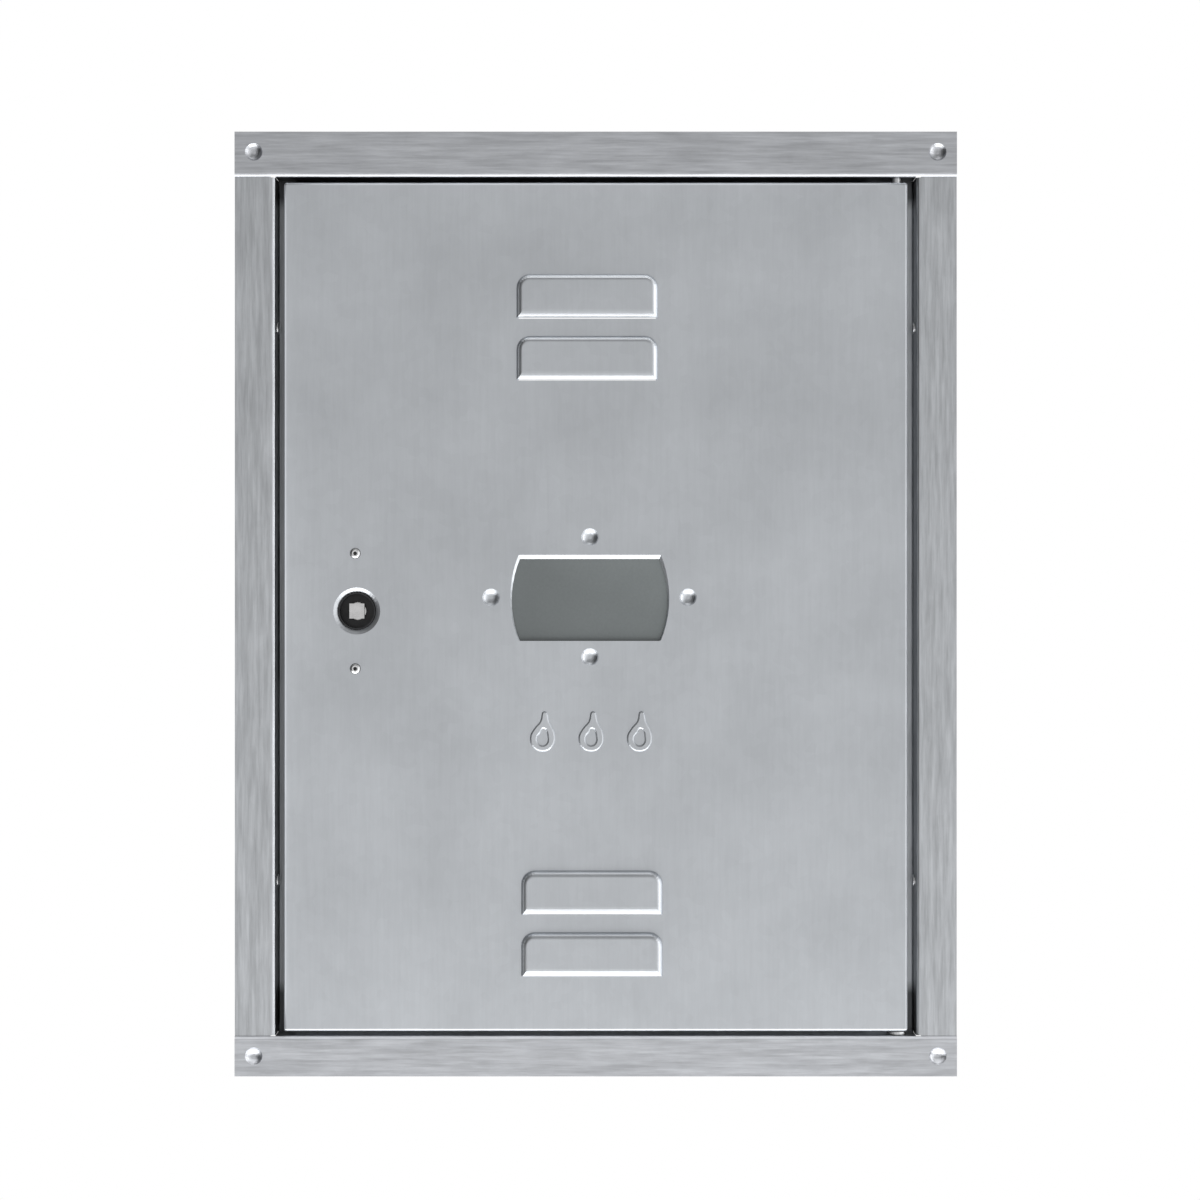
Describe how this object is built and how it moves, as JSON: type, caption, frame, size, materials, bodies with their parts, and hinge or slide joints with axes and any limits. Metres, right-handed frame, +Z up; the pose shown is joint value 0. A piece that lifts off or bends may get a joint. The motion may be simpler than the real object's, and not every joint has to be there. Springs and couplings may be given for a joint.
{
  "type": "gas meter cabinet door",
  "caption": "Recessed gas meter cabinet door: galvanised sheet leaf with louvres, window, raised flame signs and square-key lock, hinged in a flanged wall frame.",
  "frame": {"origin": "centre of the wall opening, in the wall plane, which is the back of the side stiles' flanges", "axes": "+Z up, +X to the right seen from the front (hinge side), -Y out of the wall towards the viewer"},
  "size_m": [0.338, 0.043, 0.442],
  "materials": {
    "frame_galvanised_sheet": "galvanised sheet, satin, faint rolling streaks",
    "door_galvanised_sheet": "galvanised sheet, satin, faint mottling",
    "anchor_galvanised_strip": "galvanised strip, dull",
    "window_glass": "smoked clear pane, glossy",
    "rivet_aluminium": "plain aluminium, satin",
    "zinc_plated_steel": "zinc plated, satin",
    "polished_zinc_steel": "bright zinc plated, slightly worn",
    "black_enamel": "black enamel, semi-gloss",
    "spring_steel": "bare spring steel, oiled"
  },
  "bodies": {
    "frame": {"frame_top_rail": "frame_galvanised_sheet", "frame_bottom_rail": "frame_galvanised_sheet", "frame_left_stile": "frame_galvanised_sheet", "frame_right_stile": "frame_galvanised_sheet", "wall_anchor_top_left": "anchor_galvanised_strip", "wall_anchor_top_right": "anchor_galvanised_strip", "wall_anchor_bottom_left": "anchor_galvanised_strip", "wall_anchor_bottom_right": "anchor_galvanised_strip", "anchor_rivet_top_left": "rivet_aluminium", "anchor_rivet_top_right": "rivet_aluminium", "anchor_rivet_bottom_left": "rivet_aluminium", "anchor_rivet_bottom_right": "rivet_aluminium", "hinge_pin_top": "zinc_plated_steel", "hinge_pin_bottom": "zinc_plated_steel", "hinge_washer": "zinc_plated_steel"},
    "door": {"door_panel": "door_galvanised_sheet", "window_pane": "window_glass", "pane_holder": "zinc_plated_steel", "lock_case": "zinc_plated_steel", "lock_back_cover": "zinc_plated_steel", "lock_cup": "black_enamel", "lock_rivet_top": "rivet_aluminium", "lock_rivet_bottom": "rivet_aluminium", "cover_screw_upper": "zinc_plated_steel", "cover_screw_lower": "zinc_plated_steel", "detent_spring": "spring_steel"},
    "spindle": {"lock_spindle": "polished_zinc_steel"},
    "bolt": {"lock_bolt": "zinc_plated_steel"}
  },
  "joints": [
    {"name": "door_hinge", "type": "hinge", "parent": "frame", "child": "door", "pos_m": [0.1411, 0.004, 0], "axis": [0, 0, 1], "range_deg": [0, 115]},
    {"name": "key_turn", "type": "hinge", "parent": "door", "child": "spindle", "pos_m": [-0.1119, 0, -0.0033], "axis": [0, -1, 0], "range_deg": [0, 90]},
    {"name": "bolt_slide", "type": "slide", "parent": "door", "child": "bolt", "axis": [-1, 0, 0], "range_m": [0, 0.008], "deforming": ["detent_spring"]}
  ],
  "couplings": [
    {"joint": "key_turn", "follows": "bolt_slide", "rad_per_m": 196.3}
  ]
}
